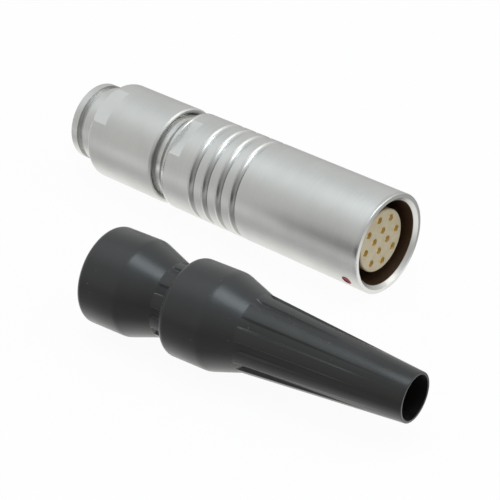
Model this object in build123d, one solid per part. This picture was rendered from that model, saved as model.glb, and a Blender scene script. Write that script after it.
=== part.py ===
from build123d import *

import os

# A circular in-line socket connector, with its bend-relief boot lying beside it.
# The connector's axis is X: the mating mouth faces +X, the cable enters from -X, and the origin
# is the middle of the mouth. It lies on a surface below it, with +Z up. Millimetres throughout.
# Turns about X are counted from +Y towards +Z.

# Twelve socket contacts in two rings: everything round them is sized outwards from here.
OUTER_COUNT = 8
OUTER_RING_RADIUS = 3.73
INNER_COUNT = 4
INNER_RING_RADIUS = 1.64
CONTACT_SETBACK = 0.5
CONTACT_RADIUS = 0.54
CONTACT_BORE_RADIUS = 0.36
CONTACT_BORE_DEPTH = 7.0
CONTACT_LEAD = 0.1
SLIT_WIDTH = 0.14
SLIT_LENGTH = 4.0
CONTACT_COLLAR_RADIUS = 0.75
CONTACT_COLLAR_LENGTH = 1.0
SHANK_RADIUS = 0.5
CUP_RADIUS = 0.65
CUP_BORE_RADIUS = 0.45
CUP_LENGTH = 4.0
CUP_BORE_DEPTH = 3.2
CUP_OPENING = 2.6

# Steps outwards: insulator rim, ring gap for the plug, walls.
TOWER_RIM = 1.3
PLUG_GAP = 1.72
MOUTH_WALL = 1.25
WEB_STEP = 0.57
CROWN_STEP = 0.8
TOWER_RADIUS = OUTER_RING_RADIUS + TOWER_RIM
INSERT_BORE_RADIUS = TOWER_RADIUS + WEB_STEP
CROWN_BORE_RADIUS = INSERT_BORE_RADIUS + CROWN_STEP
MOUTH_BORE_RADIUS = TOWER_RADIUS + PLUG_GAP
SHELL_RADIUS = MOUTH_BORE_RADIUS + MOUTH_WALL

# Outer shell: one turned and plated tube.
SHELL_LENGTH = 38.35
MOUTH_EDGE = 0.25
MOUTH_CHAMFER = 0.55
SOCKET_DEPTH = 12.5
WEB_THICKNESS = 1.0
CROWN_SEAT_DEPTH = 20.0

# Catch groove and keyway inside the mouth.
CATCH_DEPTH = 6.4
CATCH_WIDTH = 1.8
CATCH_CUT = 0.4
CATCH_SLOPE = 0.35
KEY_TURN = 210.4
KEY_WIDTH = 1.1
KEY_CUT = 0.45
KEY_LENGTH = 10.0
MARK_RADIUS = 0.72
MARK_SETBACK = 2.45
MARK_RECESS = 0.3

# Four turned finger grooves and the spanner flats.
GROOVE_COUNT = 4
GROOVE_PITCH = 2.8
GROOVE_WIDTH = 1.35
GROOVE_CUT = 0.45
FIRST_GROOVE = 24.15
FLAT_CUT = 0.75
SHELL_FLAT_LENGTH = 2.25
EDGE_BREAK = 0.12

# Insulator: a front tower with the collar, and a rear disc that traps the contacts.
TOWER_SETBACK = 1.5
TOWER_CHAMFER = 0.15
COLLAR_LENGTH = 2.0
REAR_DISC_LENGTH = 3.5
KEYBAR_WIDTH = 1.0
KEYBAR_DEPTH = 0.5

# Retaining ring and earthing crown behind the insulator.
RETAINER_LENGTH = 1.0
RETAINER_GAP = 1.1
CROWN_LENGTH = 6.0
CROWN_BAND_LENGTH = 2.0
CROWN_WALL = 0.3
CROWN_FINGERS = 8
CROWN_SLOT_WIDTH = 0.9

# Inner body: screws into the shell, and carries the nut on its rear neck.
FLANGE_THICKNESS = 0.6
RELIEF_CUT = 0.52
RELIEF_LENGTH = 1.15
NECK_LENGTH = 5.4
NECK_CHAMFER = 0.4

# Split carrier: two half tubes round the solder cups.
CARRIER_INSET = 1.85
CARRIER_WALL = 0.8
CARRIER_LIP_LENGTH = 1.2
CARRIER_LIP_RADIUS = 3.6

# Collet: a slotted clamp tube with a cone.
CABLE_RADIUS = 4.0
COLLET_WALL = 1.05
COLLET_TIP_WALL = 0.75
COLLET_HEAD_STEP = 0.52
COLLET_HEAD_LENGTH = 1.6
COLLET_CONE_LENGTH = 4.2
COLLET_SLOTS = 6
COLLET_SLOT_WIDTH = 0.7
COLLET_SLOT_LENGTH = 7.7
GRIP_GROOVES = 3
GRIP_GROOVE_CUT = 0.2
GRIP_GROOVE_WIDTH = 0.5

# Collet nut: turned barrel, rounded shoulder and the grooved stub that the boot snaps on.
NUT_WALL = 0.98
NUT_GAP = 2.45
NUT_LENGTH = 14.2
NUT_EDGE = 0.25
NUT_LEAD = 0.45
SHOULDER_ROUND = 1.25
NUT_FLAT_LENGTH = 3.5
STUB_STEP = 1.6
STUB_BAND_LENGTH = 2.15
STUB_GROOVE_WIDTH = 1.25
STUB_GROOVE_CUT = 0.6
STUB_FLANGE_LENGTH = 1.4
STUB_EDGE = 0.25
CABLE_HOLE_GAP = 0.2

# Clearances.
RUNNING = 0.05
CONTACT_CLEARANCE = 0.03
TURNING_GAP = 0.1
HEAD_GAP = 0.55
CHAMBER_GAP = 0.35

# Bend-relief boot, one soft moulding, measured from its open cup.
BOOT_LENGTH = 52.8
CUP_STRETCH = 0.35
CUP_WALL = 1.35
CUP_EDGE = 0.9
CUP_RUN = 7.4
BEAD_STRETCH = 0.25
BOOT_NECK_START = 12.5
BOOT_NECK_END = 14.95
BOOT_NECK_STEP = 1.75
BULGE_EDGE = 0.7
BULGE_END = 22.1
TAPER_START = 27.0
TAPER_START_STEP = 1.6
TAIL_WALL = 0.4
TAIL_EDGE = 0.12
BOOT_BORE_RADIUS = 3.25
BOOT_FUNNEL_STEP = 1.45
BOOT_FUNNEL_LENGTH = 3.2
RIB_COUNT = 10
RIB_GAP_ANGLE = 16.0
NECK_GAP_CUT = 0.6
NECK_GAP_RUNOUT = 0.4
TAPER_GAP_CUT = 0.5
TAPER_GAP_RUNOUT = 1.2
TAPER_GAP_END = 47.5
BOOT_PLACE = (-27.1, -32.4)
BOOT_YAW = 4.9
BOOT_TURN = 133.8

# Radii that seat on each other, inner body to nut to boot.
INSERT_RADIUS = INSERT_BORE_RADIUS - RUNNING
NECK_RADIUS = SHELL_RADIUS - NUT_WALL - RUNNING
RELIEF_RADIUS = NECK_RADIUS - RELIEF_CUT
COLLET_BORE_RADIUS = INSERT_RADIUS - COLLET_WALL
COLLET_HEAD_RADIUS = NECK_RADIUS - COLLET_HEAD_STEP
COLLET_TIP_RADIUS = CABLE_RADIUS + COLLET_TIP_WALL
CABLE_HOLE_RADIUS = CABLE_RADIUS + CABLE_HOLE_GAP
STUB_RADIUS = SHELL_RADIUS - STUB_STEP
STUB_GROOVE_RADIUS = STUB_RADIUS - STUB_GROOVE_CUT
CUP_BAND_RADIUS = STUB_RADIUS - CUP_STRETCH
CUP_BEAD_RADIUS = STUB_GROOVE_RADIUS - BEAD_STRETCH
CUP_OUTER_RADIUS = CUP_BAND_RADIUS + CUP_WALL
BOOT_NECK_RADIUS = CUP_OUTER_RADIUS - BOOT_NECK_STEP
TAPER_START_RADIUS = CUP_OUTER_RADIUS - TAPER_START_STEP
TAIL_RADIUS = BOOT_BORE_RADIUS + TAIL_WALL
BOOT_FUNNEL_RADIUS = CUP_BAND_RADIUS - BOOT_FUNNEL_STEP

# Stations along the axis, all behind the mouth.
X_WEB_FRONT = -SOCKET_DEPTH
X_WEB_REAR = X_WEB_FRONT - WEB_THICKNESS
X_COLLAR_REAR = X_WEB_REAR - COLLAR_LENGTH
X_DISC_REAR = X_COLLAR_REAR - REAR_DISC_LENGTH
X_CROWN_SEAT = -CROWN_SEAT_DEPTH
X_CROWN_FRONT = X_CROWN_SEAT - RETAINER_LENGTH
X_BODY_FRONT = X_CROWN_FRONT - CROWN_LENGTH
X_SHELL_REAR = -SHELL_LENGTH
X_FLANGE_REAR = X_SHELL_REAR - FLANGE_THICKNESS
X_NECK_FRONT = X_FLANGE_REAR - RELIEF_LENGTH
X_BODY_REAR = X_NECK_FRONT - NECK_LENGTH
X_CARRIER_REAR = X_SHELL_REAR + CARRIER_INSET

# The nut tightens until a turning gap is left in front of it, and takes the collet along.
TIGHTENING = NUT_GAP - TURNING_GAP
X_COLLET_FRONT = X_CARRIER_REAR - TIGHTENING - RUNNING
X_HEAD_FRONT = X_BODY_REAR - TIGHTENING - HEAD_GAP
X_CONE_FRONT = X_HEAD_FRONT - COLLET_HEAD_LENGTH
X_COLLET_REAR = X_CONE_FRONT - COLLET_CONE_LENGTH
X_NUT_FRONT = X_FLANGE_REAR - NUT_GAP
X_CHAMBER_FRONT = X_BODY_REAR - TIGHTENING - CHAMBER_GAP
X_NUT_STEP = X_NUT_FRONT - NUT_LENGTH
X_STUB_GROOVE = X_NUT_STEP - STUB_BAND_LENGTH
X_STUB_FLANGE = X_STUB_GROOVE - STUB_GROOVE_WIDTH
X_NUT_REAR = X_STUB_FLANGE - STUB_FLANGE_LENGTH


def rod(radius: float, front: float, rear: float) -> Part:
    """A solid cylinder on the axis, between two stations."""
    middle = (front + rear) / 2
    return Pos(middle, 0, 0) * Rot(Y=90) * Cylinder(radius, front - rear)


def cone(front_radius: float, rear_radius: float, front: float, rear: float) -> Part:
    """A solid cone on the axis, between two stations."""
    middle = (front + rear) / 2
    return Pos(middle, 0, 0) * Rot(Y=90) * Cone(rear_radius, front_radius, front - rear)


def ring(outer: float, inner: float, front: float, rear: float) -> Part:
    """A plain tube on the axis, between two stations."""
    return rod(outer, front, rear) - rod(inner, front, rear)


def turned(outline: list[tuple[float, float]], angle: float = 360.0) -> Part:
    """A closed outline of stations and radii, revolved about the axis."""
    face = make_face(Polyline(*outline, close=True))
    return revolve(face, axis=Axis.X, revolution_arc=angle)


def rims(piece: Part, station: float, radius: float) -> ShapeList:
    """The round edges of one radius about the axis at one station."""
    circles = piece.edges().filter_by(GeomType.CIRCLE)
    return circles.filter_by(
        lambda edge: abs(edge.arc_center.X - station) < 1e-4
        and abs(edge.radius - radius) < 1e-4
    )


def flats(front: float, rear: float) -> list[Part]:
    """The two slabs that cut a pair of spanner flats beside the key."""
    height = SHELL_RADIUS
    middle = (front + rear) / 2
    slab = Box(front - rear, height, 2 * SHELL_RADIUS + 1)
    reach = Pos(middle, SHELL_RADIUS - FLAT_CUT + height / 2, 0) * slab
    return [Rot(X=KEY_TURN + side) * reach for side in (90, -90)]


def finger_groove(station: float) -> Part:
    """The round-bottomed ring that a form tool cuts into the shell."""
    tool = (GROOVE_WIDTH**2 / 4 + GROOVE_CUT**2) / (2 * GROOVE_CUT)
    ring_radius = SHELL_RADIUS - GROOVE_CUT + tool
    return Pos(station, 0, 0) * Rot(Y=90) * Torus(ring_radius, tool)


def make_shell() -> Part:
    """The outer shell: mouth, catch groove, keyway, web, rear bores, grooves and flats."""
    shell = rod(SHELL_RADIUS, 0, X_SHELL_REAR)
    shell -= rod(MOUTH_BORE_RADIUS, 0, X_WEB_FRONT)
    shell -= rod(TOWER_RADIUS + RUNNING, X_WEB_FRONT, X_WEB_REAR)
    shell -= rod(INSERT_BORE_RADIUS, X_WEB_REAR, X_CROWN_SEAT)
    shell -= rod(CROWN_BORE_RADIUS, X_CROWN_SEAT, X_SHELL_REAR)
    shell = chamfer(rims(shell, 0, MOUTH_BORE_RADIUS), MOUTH_CHAMFER)
    shell = fillet(rims(shell, 0, SHELL_RADIUS), MOUTH_EDGE)
    catch_rear = -CATCH_DEPTH - CATCH_WIDTH
    shell -= turned(
        [
            (-CATCH_DEPTH, MOUTH_BORE_RADIUS - CATCH_CUT),
            (-CATCH_DEPTH, MOUTH_BORE_RADIUS),
            (-CATCH_DEPTH - CATCH_SLOPE, MOUTH_BORE_RADIUS + CATCH_CUT),
            (catch_rear + CATCH_SLOPE, MOUTH_BORE_RADIUS + CATCH_CUT),
            (catch_rear, MOUTH_BORE_RADIUS),
            (catch_rear, MOUTH_BORE_RADIUS - CATCH_CUT),
        ]
    )
    keyway = Box(KEY_LENGTH, MOUTH_BORE_RADIUS + KEY_CUT, KEY_WIDTH)
    reach = (MOUTH_BORE_RADIUS + KEY_CUT) / 2
    shell -= Rot(X=KEY_TURN) * Pos(-KEY_LENGTH / 2, reach, 0) * keyway
    for count in range(GROOVE_COUNT):
        shell -= finger_groove(-FIRST_GROOVE - count * GROOVE_PITCH)
    shell -= flats(X_SHELL_REAR + SHELL_FLAT_LENGTH, X_SHELL_REAR)
    shell -= mark_slug()
    return shell


def mark_slug() -> Part:
    """The paint that fills the small round recess over the keyway."""
    floor = SHELL_RADIUS - MARK_RECESS
    slug = Rot(X=-90) * Cylinder(MARK_RADIUS, 2 * MARK_RECESS)
    placed = Rot(X=KEY_TURN) * Pos(-MARK_SETBACK, floor + MARK_RECESS, 0) * slug
    return placed & rod(SHELL_RADIUS, 0, X_SHELL_REAR)


def contact_places() -> dict[str, Location]:
    """Where each contact stands: two rings, set about the key."""
    places = {}
    outer_step = 360 / OUTER_COUNT
    for count in range(OUTER_COUNT):
        turn = KEY_TURN + outer_step * (count + 0.5)
        places[f"contact_outer_{count + 1}"] = Rot(X=turn) * Pos(0, OUTER_RING_RADIUS, 0)
    inner_step = 360 / INNER_COUNT
    for count in range(INNER_COUNT):
        turn = KEY_TURN + inner_step * (count + 0.5)
        places[f"contact_inner_{count + 1}"] = Rot(X=turn) * Pos(0, INNER_RING_RADIUS, 0)
    return places


def make_contact() -> Part:
    """One socket contact on the axis: slit tube, collar, shank and open solder cup."""
    front = -TOWER_SETBACK - CONTACT_SETBACK
    collar_front = X_COLLAR_REAR + CONTACT_COLLAR_LENGTH
    cup_front = X_DISC_REAR - CONTACT_CLEARANCE
    cup_rear = cup_front - CUP_LENGTH
    contact = rod(CONTACT_RADIUS, front, collar_front)
    contact += rod(CONTACT_COLLAR_RADIUS, collar_front, X_COLLAR_REAR)
    contact += rod(SHANK_RADIUS, X_COLLAR_REAR, cup_front)
    contact += rod(CUP_RADIUS, cup_front, cup_rear)
    contact -= rod(CONTACT_BORE_RADIUS, front, front - CONTACT_BORE_DEPTH)
    contact -= rod(CUP_BORE_RADIUS, cup_rear + CUP_BORE_DEPTH, cup_rear)
    contact = chamfer(rims(contact, front, CONTACT_BORE_RADIUS), CONTACT_LEAD)
    slit = Box(SLIT_LENGTH, 2 * CONTACT_COLLAR_RADIUS, SLIT_WIDTH)
    contact -= Pos(front - SLIT_LENGTH / 2, 0, 0) * slit
    opening = Box(CUP_OPENING, CUP_RADIUS, 2 * CUP_RADIUS)
    contact -= Pos(cup_rear + CUP_OPENING / 2, CUP_RADIUS / 2 + SLIT_WIDTH, 0) * opening
    return contact


def keybar(front: float, rear: float) -> Part:
    """The notch that lines the insulator up with the keyway."""
    bar = Box(front - rear, KEYBAR_DEPTH, KEYBAR_WIDTH)
    reach = INSERT_RADIUS - KEYBAR_DEPTH / 2
    return Rot(X=KEY_TURN) * Pos((front + rear) / 2, reach, 0) * bar


def make_insulator_front() -> Part:
    """The tower that shows in the mouth, with a collar behind the web."""
    collar_radius = INSERT_RADIUS
    body = rod(TOWER_RADIUS, -TOWER_SETBACK, X_WEB_REAR)
    body += rod(collar_radius, X_WEB_REAR, X_COLLAR_REAR)
    body = chamfer(rims(body, -TOWER_SETBACK, TOWER_RADIUS), TOWER_CHAMFER)
    pocket_front = X_COLLAR_REAR + CONTACT_COLLAR_LENGTH
    hole = rod(CONTACT_RADIUS + CONTACT_CLEARANCE, 0, pocket_front)
    pocket = CONTACT_COLLAR_RADIUS + CONTACT_CLEARANCE
    hole += rod(pocket, pocket_front, X_COLLAR_REAR)
    body -= [place * hole for place in contact_places().values()]
    return body - keybar(X_WEB_REAR, X_COLLAR_REAR)


def make_insulator_rear() -> Part:
    """The disc that clamps the contacts' collars from behind."""
    body = rod(INSERT_RADIUS, X_COLLAR_REAR, X_DISC_REAR)
    hole = rod(SHANK_RADIUS + CONTACT_CLEARANCE, X_COLLAR_REAR, X_DISC_REAR)
    body -= [place * hole for place in contact_places().values()]
    return body - keybar(X_COLLAR_REAR, X_DISC_REAR)


def make_retaining_ring() -> Part:
    """A split spring ring between the shell's step and the earthing crown."""
    outer = CROWN_BORE_RADIUS - RUNNING
    inner = INSERT_BORE_RADIUS + RUNNING
    band = ring(outer, inner, X_CROWN_SEAT, X_CROWN_FRONT)
    middle = (X_CROWN_SEAT + X_CROWN_FRONT) / 2
    gap = Box(2 * RETAINER_LENGTH, SHELL_RADIUS, RETAINER_GAP)
    return band - Rot(X=KEY_TURN) * Pos(middle, SHELL_RADIUS / 2, 0) * gap


def make_earthing_crown() -> Part:
    """A thin sleeve with spring fingers, held against the inner body."""
    outer = CROWN_BORE_RADIUS - RUNNING
    crown = ring(outer, outer - CROWN_WALL, X_CROWN_FRONT, X_BODY_FRONT)
    slot_length = CROWN_LENGTH - CROWN_BAND_LENGTH
    slot = Box(slot_length, SHELL_RADIUS, CROWN_SLOT_WIDTH)
    reach = Pos(X_CROWN_FRONT - slot_length / 2, SHELL_RADIUS / 2, 0) * slot
    step = 360 / CROWN_FINGERS
    return crown - [Rot(X=KEY_TURN + step * count) * reach for count in range(CROWN_FINGERS)]


def make_inner_body() -> Part:
    """The threaded inner body: front in the shell, flange, relief and rear neck."""
    front_radius = CROWN_BORE_RADIUS - RUNNING
    body = rod(front_radius, X_BODY_FRONT, X_SHELL_REAR)
    body += rod(SHELL_RADIUS, X_SHELL_REAR, X_FLANGE_REAR)
    body += rod(RELIEF_RADIUS, X_FLANGE_REAR, X_NECK_FRONT)
    body += rod(NECK_RADIUS, X_NECK_FRONT, X_BODY_REAR)
    body -= rod(INSERT_BORE_RADIUS, X_BODY_FRONT, X_BODY_REAR)
    body = chamfer(rims(body, X_BODY_REAR, NECK_RADIUS), NECK_CHAMFER)
    edges = rims(body, X_SHELL_REAR, SHELL_RADIUS) + rims(body, X_FLANGE_REAR, SHELL_RADIUS)
    return chamfer(edges, EDGE_BREAK)


def make_carrier_half(upper: bool) -> Part:
    """One half of the split tube that holds the insulator against the web."""
    outer = INSERT_RADIUS
    tube = ring(outer, outer - CARRIER_WALL, X_DISC_REAR, X_CARRIER_REAR)
    lip_front = X_CARRIER_REAR + CARRIER_LIP_LENGTH
    tube += ring(outer, CARRIER_LIP_RADIUS, lip_front, X_CARRIER_REAR)
    keep = Keep.TOP if upper else Keep.BOTTOM
    return split(tube, bisect_by=Plane.XY, keep=keep)


def make_collet() -> Part:
    """The slotted clamp: a plain tube in the inner body, and a coned head in the nut."""
    collet = rod(INSERT_RADIUS, X_COLLET_FRONT, X_HEAD_FRONT)
    collet += rod(COLLET_HEAD_RADIUS, X_HEAD_FRONT, X_CONE_FRONT)
    collet += cone(COLLET_HEAD_RADIUS, COLLET_TIP_RADIUS, X_CONE_FRONT, X_COLLET_REAR)
    collet -= rod(COLLET_BORE_RADIUS, X_COLLET_FRONT, X_HEAD_FRONT)
    collet -= rod(CABLE_RADIUS, X_HEAD_FRONT, X_COLLET_REAR)
    spacing = (X_HEAD_FRONT - X_COLLET_REAR) / (GRIP_GROOVES + 1)
    for count in range(GRIP_GROOVES):
        front = X_HEAD_FRONT - spacing * (count + 1) + GRIP_GROOVE_WIDTH / 2
        cut = CABLE_RADIUS + GRIP_GROOVE_CUT
        collet -= rod(cut, front, front - GRIP_GROOVE_WIDTH)
    slot = Box(COLLET_SLOT_LENGTH, COLLET_HEAD_RADIUS, COLLET_SLOT_WIDTH)
    middle = X_COLLET_REAR + COLLET_SLOT_LENGTH / 2
    reach = Pos(middle, COLLET_HEAD_RADIUS / 2 + COLLET_SLOT_WIDTH, 0) * slot
    step = 360 / COLLET_SLOTS
    return collet - [Rot(X=KEY_TURN + step * count) * reach for count in range(COLLET_SLOTS)]


def nut_outside() -> Part:
    """The nut's outside: barrel, rounded rear shoulder and grooved stub."""
    body = rod(SHELL_RADIUS, X_NUT_FRONT, X_NUT_STEP)
    body = fillet(rims(body, X_NUT_STEP, SHELL_RADIUS), SHOULDER_ROUND)
    body += rod(STUB_RADIUS, X_NUT_STEP, X_NUT_REAR)
    return body - ring(STUB_RADIUS + 1, STUB_GROOVE_RADIUS, X_STUB_GROOVE, X_STUB_FLANGE)


def make_collet_nut() -> Part:
    """The collet nut: threaded bore, chamber, clamping cone and cable hole."""
    nut = nut_outside()
    thread_radius = NECK_RADIUS + RUNNING
    head_radius = COLLET_HEAD_RADIUS + RUNNING
    tip_radius = COLLET_TIP_RADIUS + RUNNING
    nut -= rod(thread_radius, X_NUT_FRONT, X_CHAMBER_FRONT)
    nut -= rod(head_radius, X_CHAMBER_FRONT, X_CONE_FRONT)
    nut -= cone(head_radius, tip_radius, X_CONE_FRONT, X_COLLET_REAR)
    nut -= rod(CABLE_HOLE_RADIUS, X_COLLET_REAR, X_NUT_REAR)
    nut = chamfer(rims(nut, X_NUT_FRONT, thread_radius), NUT_LEAD)
    nut = chamfer(rims(nut, X_NUT_FRONT, SHELL_RADIUS), NUT_EDGE)
    nut = chamfer(rims(nut, X_NUT_REAR, CABLE_HOLE_RADIUS), STUB_EDGE)
    flange = rims(nut, X_NUT_REAR, STUB_RADIUS)
    nut = fillet(flange, STUB_EDGE)
    return nut - flats(X_NUT_STEP + NUT_FLAT_LENGTH, X_NUT_STEP)


def taper_radius(station: float) -> float:
    """The boot's outer radius at a station on its long taper."""
    share = (station - TAPER_START) / (BOOT_LENGTH - TAPER_START)
    return TAPER_START_RADIUS + share * (TAIL_RADIUS - TAPER_START_RADIUS)


def boot_outside() -> Part:
    """The boot's solid form: cup, neck, bulge and taper, with moulded edges."""
    body = turned(
        [
            (0, 0),
            (0, CUP_OUTER_RADIUS),
            (CUP_RUN, CUP_OUTER_RADIUS),
            (BOOT_NECK_START, BOOT_NECK_RADIUS),
            (BOOT_NECK_END, BOOT_NECK_RADIUS),
            (BOOT_NECK_END, CUP_OUTER_RADIUS),
            (BULGE_END, CUP_OUTER_RADIUS),
            (TAPER_START, TAPER_START_RADIUS),
            (BOOT_LENGTH, TAIL_RADIUS),
            (BOOT_LENGTH, 0),
        ]
    )
    body = fillet(rims(body, 0, CUP_OUTER_RADIUS), CUP_EDGE)
    body = fillet(rims(body, BOOT_NECK_END, CUP_OUTER_RADIUS), BULGE_EDGE)
    return fillet(rims(body, BOOT_LENGTH, TAIL_RADIUS), TAIL_EDGE)


def rib_gaps() -> list[Part]:
    """The gaps between the ribs: one row round the neck, one that fades along the taper."""
    neck_floor = BOOT_NECK_RADIUS - NECK_GAP_CUT
    neck_gap = turned(
        [
            (BOOT_NECK_START - NECK_GAP_RUNOUT, CUP_OUTER_RADIUS),
            (BOOT_NECK_START + NECK_GAP_RUNOUT, neck_floor),
            (BOOT_NECK_END, neck_floor),
            (BOOT_NECK_END, CUP_OUTER_RADIUS),
        ],
        RIB_GAP_ANGLE,
    )
    deep = TAPER_START + TAPER_GAP_RUNOUT
    taper_gap = turned(
        [
            (TAPER_START - 2 * TAPER_GAP_RUNOUT, CUP_OUTER_RADIUS),
            (deep, taper_radius(deep) - TAPER_GAP_CUT),
            (TAPER_GAP_END, taper_radius(TAPER_GAP_END)),
            (TAPER_GAP_END, CUP_OUTER_RADIUS),
        ],
        RIB_GAP_ANGLE,
    )
    step = 360 / RIB_COUNT
    turns = [step * count - RIB_GAP_ANGLE / 2 for count in range(RIB_COUNT)]
    return [Rot(X=turn) * gap for turn in turns for gap in (neck_gap, taper_gap)]


def boot_inside() -> Part:
    """The boot's hollow: a cup that stretches over the nut's stub, a funnel and a bore."""
    bead_start = STUB_BAND_LENGTH
    bead_end = bead_start + STUB_GROOVE_WIDTH
    cup_floor = bead_end + STUB_FLANGE_LENGTH
    bore_start = cup_floor + BOOT_FUNNEL_LENGTH
    hollow = rod(CUP_BAND_RADIUS, bead_start, 0)
    hollow += rod(CUP_BEAD_RADIUS, bead_end, bead_start)
    hollow += rod(CUP_BAND_RADIUS, cup_floor, bead_end)
    hollow += cone(BOOT_BORE_RADIUS, BOOT_FUNNEL_RADIUS, bore_start, cup_floor)
    hollow += rod(BOOT_BORE_RADIUS, BOOT_LENGTH, bore_start)
    return hollow


def make_boot() -> Part:
    """The bend-relief boot, lying level on its cup and bulge beside the connector."""
    boot = boot_outside() - rib_gaps() - boot_inside()
    height = CUP_OUTER_RADIUS - SHELL_RADIUS
    place = Pos(BOOT_PLACE[0], BOOT_PLACE[1], height)
    return place * Rot(Z=BOOT_YAW) * Rot(X=BOOT_TURN) * boot


def all_pieces() -> dict[str, Part]:
    """Every piece by its name."""
    pieces = {
        "shell": make_shell(),
        "key_mark": mark_slug(),
        "insulator_front": make_insulator_front(),
        "insulator_rear": make_insulator_rear(),
        "retaining_ring": make_retaining_ring(),
        "earthing_crown": make_earthing_crown(),
        "inner_body": make_inner_body(),
        "carrier_upper": make_carrier_half(True),
        "carrier_lower": make_carrier_half(False),
        "collet": make_collet(),
        "collet_nut": make_collet_nut(),
        "boot": make_boot(),
    }
    contact = make_contact()
    for name, place in contact_places().items():
        pieces[name] = place * contact
    return pieces


os.makedirs("parts", exist_ok=True)
for piece_name, piece in all_pieces().items():
    export_step(piece, f"parts/{piece_name}.step")
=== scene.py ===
import logging
import math
from dataclasses import dataclass
from enum import Enum

import bpy
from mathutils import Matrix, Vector


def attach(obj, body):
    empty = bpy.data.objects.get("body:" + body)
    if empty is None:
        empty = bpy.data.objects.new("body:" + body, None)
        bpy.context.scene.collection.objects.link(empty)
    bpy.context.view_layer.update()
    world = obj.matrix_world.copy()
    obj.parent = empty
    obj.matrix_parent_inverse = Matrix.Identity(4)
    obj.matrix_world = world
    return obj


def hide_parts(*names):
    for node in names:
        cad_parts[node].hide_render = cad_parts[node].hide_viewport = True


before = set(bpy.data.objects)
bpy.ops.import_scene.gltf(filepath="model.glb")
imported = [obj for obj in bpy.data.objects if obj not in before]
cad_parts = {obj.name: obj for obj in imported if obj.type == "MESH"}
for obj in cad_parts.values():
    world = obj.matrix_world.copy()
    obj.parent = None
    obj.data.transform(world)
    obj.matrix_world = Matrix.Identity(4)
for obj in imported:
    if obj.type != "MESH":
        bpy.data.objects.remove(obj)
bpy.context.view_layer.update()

LOG = logging.getLogger("connector")
MM = 0.001
Colour = tuple[float, float, float]
Triple = tuple[float, float, float]
Point = tuple[float, float]
Span = tuple[float, float]
Corner = tuple[float, float, float]
ZERO: Triple = (0.0, 0.0, 0.0)


class Body(Enum):
    """The body that the new pieces ride on."""

    CONNECTOR = "connector"


class Slot(Enum):
    """The record's material slot names; nothing in this script uses them."""

    BRIGHT = "bright_chrome"
    RED = "red_paint"
    RUBBER = "black_rubber"


class Sock:
    """A shader socket that takes part in Python expressions."""

    def __init__(self, shader: "Shader", out: bpy.types.NodeSocket) -> None:
        """Keep the socket and the shader it belongs to.

        Args:
            shader: The node tree that new Math nodes go into.
            out: The output socket that holds this value.
        """
        self.shader = shader
        self.out = out

    def _math(self, operation: str, *values: "Sock | float") -> "Sock":
        """One Math node over the values.

        Args:
            operation: The Math node's operation.
            values: Its inputs, in order.

        Returns:
            The node's output.
        """
        settings = {"operation": operation}
        return self.shader.value("ShaderNodeMath", settings, dict(enumerate(values)))

    def __add__(self, other: "Sock | float") -> "Sock":
        """self + other."""
        return self._math("ADD", self, other)

    def __radd__(self, other: float) -> "Sock":
        """other + self."""
        return self._math("ADD", other, self)

    def __sub__(self, other: "Sock | float") -> "Sock":
        """self - other."""
        return self._math("SUBTRACT", self, other)

    def __rsub__(self, other: float) -> "Sock":
        """other - self."""
        return self._math("SUBTRACT", other, self)

    def __mul__(self, other: "Sock | float") -> "Sock":
        """self * other."""
        return self._math("MULTIPLY", self, other)

    def __rmul__(self, other: float) -> "Sock":
        """other * self."""
        return self._math("MULTIPLY", other, self)

    def __abs__(self) -> "Sock":
        """The value without its sign."""
        return self._math("ABSOLUTE", self)

    def root(self) -> "Sock":
        """The square root."""
        return self._math("SQRT", self)

    def least(self, other: "Sock | float") -> "Sock":
        """The smaller of the two."""
        return self._math("MINIMUM", self, other)

    def most(self, other: "Sock | float") -> "Sock":
        """The larger of the two."""
        return self._math("MAXIMUM", self, other)

    def ramp(self, low: float, high: float) -> "Sock":
        """A smooth step from 0 at low to 1 at high, or the other way round.

        Args:
            low: The value at which the step is 0.
            high: The value at which it is 1.

        Returns:
            The step, from 0 to 1.
        """
        first, last, start, end = (low, high, 0.0, 1.0) if low < high else (high, low, 1.0, 0.0)
        settings = {"interpolation_type": "SMOOTHSTEP"}
        inputs = {0: self, 1: first, 2: last, 3: start, 4: end}
        return self.shader.value("ShaderNodeMapRange", settings, inputs)


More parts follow.
